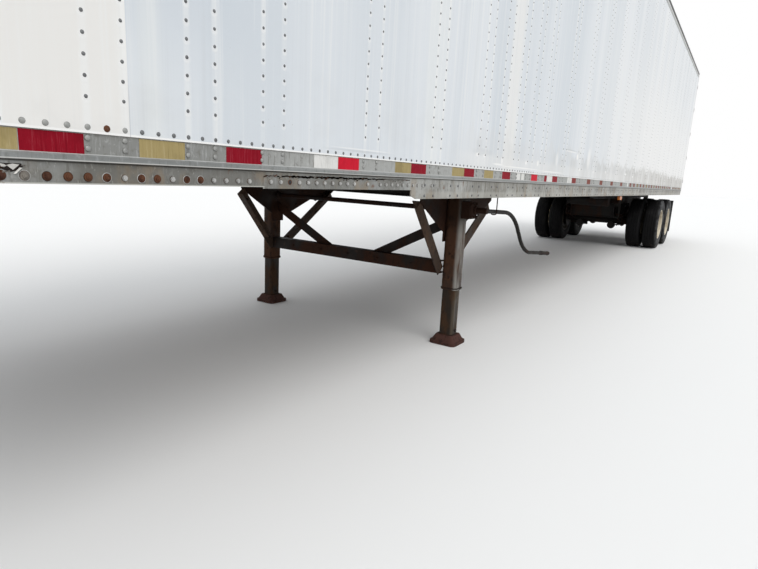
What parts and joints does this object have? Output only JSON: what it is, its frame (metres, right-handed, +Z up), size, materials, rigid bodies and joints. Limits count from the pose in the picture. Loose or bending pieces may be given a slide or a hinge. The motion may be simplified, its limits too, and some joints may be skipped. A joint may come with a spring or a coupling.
{
  "type": "semi trailer",
  "caption": "Long enclosed box semi trailer with swinging rear doors, a tandem of dual wheels, landing legs and a kingpin under its nose.",
  "frame": {"origin": "on the ground under the middle of the trailer, halfway along its length and width", "axes": "+X runs from the nose towards the rear doors, +Y to the trailer's right-hand side, +Z up"},
  "size_m": [16.3, 2.59, 4.11],
  "materials": {
    "body_white": "satin",
    "bright_steel": "satin",
    "chassis_black": "matte",
    "flap_rubber": "matte",
    "floor_wood": "matte",
    "frame_white": "satin",
    "gear_dark": "matte",
    "gear_steel": "matte",
    "lamp_amber": "gloss",
    "lamp_red": "gloss",
    "rail_white": "satin",
    "roof_white": "satin",
    "shoe_steel": "matte",
    "spring_steel": "matte",
    "tyre_rubber": "matte",
    "wheel_cream": "satin"
  },
  "bodies": {
    "trailer": {"air_couplings": "bright_steel", "air_tank": "chassis_black", "amber_lamps": "lamp_amber", "axles": "chassis_black", "body_rails": "chassis_black", "brake_chambers": "chassis_black", "coupler": "chassis_black", "crank": "gear_dark", "crank_hook": "gear_dark", "dock_bumpers": "flap_rubber", "equalizers": "spring_steel", "floor": "floor_wood", "floor_beams": "chassis_black", "front_wall": "body_white", "inner_legs": "gear_dark", "kingpin": "bright_steel", "leaf_springs": "spring_steel", "left_bottom_rail": "rail_white", "left_side_wall": "body_white", "left_top_rail": "rail_white", "leg_brace": "gear_steel", "leg_gearbox": "gear_steel", "leg_shaft": "gear_steel", "leg_tubes": "gear_steel", "mud_flaps": "flap_rubber", "nose_rail": "rail_white", "nose_sill": "rail_white", "radius_rods": "chassis_black", "rear_guard": "frame_white", "red_lamps": "lamp_red", "right_bottom_rail": "rail_white", "right_side_wall": "body_white", "right_top_rail": "rail_white", "roof": "roof_white", "shoes": "shoe_steel", "side_braces": "gear_steel", "spring_hangers": "chassis_black", "tail_frame": "frame_white", "tandem_crossmembers": "chassis_black", "tandem_rails": "chassis_black", "wing_plates": "gear_steel"},
    "front_left_wheel_pair": {"front_left_tyres": "tyre_rubber", "front_left_wheels": "wheel_cream"},
    "front_right_wheel_pair": {"front_right_tyres": "tyre_rubber", "front_right_wheels": "wheel_cream"},
    "rear_left_wheel_pair": {"rear_left_tyres": "tyre_rubber", "rear_left_wheels": "wheel_cream"},
    "rear_right_wheel_pair": {"rear_right_tyres": "tyre_rubber", "rear_right_wheels": "wheel_cream"},
    "left_rear_door": {"left_door": "body_white", "left_hinges": "bright_steel", "left_lock_rods": "bright_steel"},
    "right_rear_door": {"right_door": "body_white", "right_hinges": "bright_steel", "right_lock_rods": "bright_steel"}
  },
  "joints": [
    {"name": "front_left_wheels_turn", "type": "hinge", "parent": "trailer", "child": "front_left_wheel_pair", "pos_m": [4.845, -0.985, 0.515], "axis": [0, 1, 0], "continuous": true},
    {"name": "front_right_wheels_turn", "type": "hinge", "parent": "trailer", "child": "front_right_wheel_pair", "pos_m": [4.845, 0.985, 0.515], "axis": [0, 1, 0], "continuous": true},
    {"name": "rear_left_wheels_turn", "type": "hinge", "parent": "trailer", "child": "rear_left_wheel_pair", "pos_m": [6.09, -0.985, 0.515], "axis": [0, 1, 0], "continuous": true},
    {"name": "rear_right_wheels_turn", "type": "hinge", "parent": "trailer", "child": "rear_right_wheel_pair", "pos_m": [6.09, 0.985, 0.515], "axis": [0, 1, 0], "continuous": true},
    {"name": "left_door_swing", "type": "hinge", "parent": "trailer", "child": "left_rear_door", "pos_m": [8.095, -1.284, 2.6], "axis": [0, 0, -1], "range_deg": [0, 265]},
    {"name": "right_door_swing", "type": "hinge", "parent": "trailer", "child": "right_rear_door", "pos_m": [8.095, 1.284, 2.6], "axis": [0, 0, 1], "range_deg": [0, 265]}
  ]
}
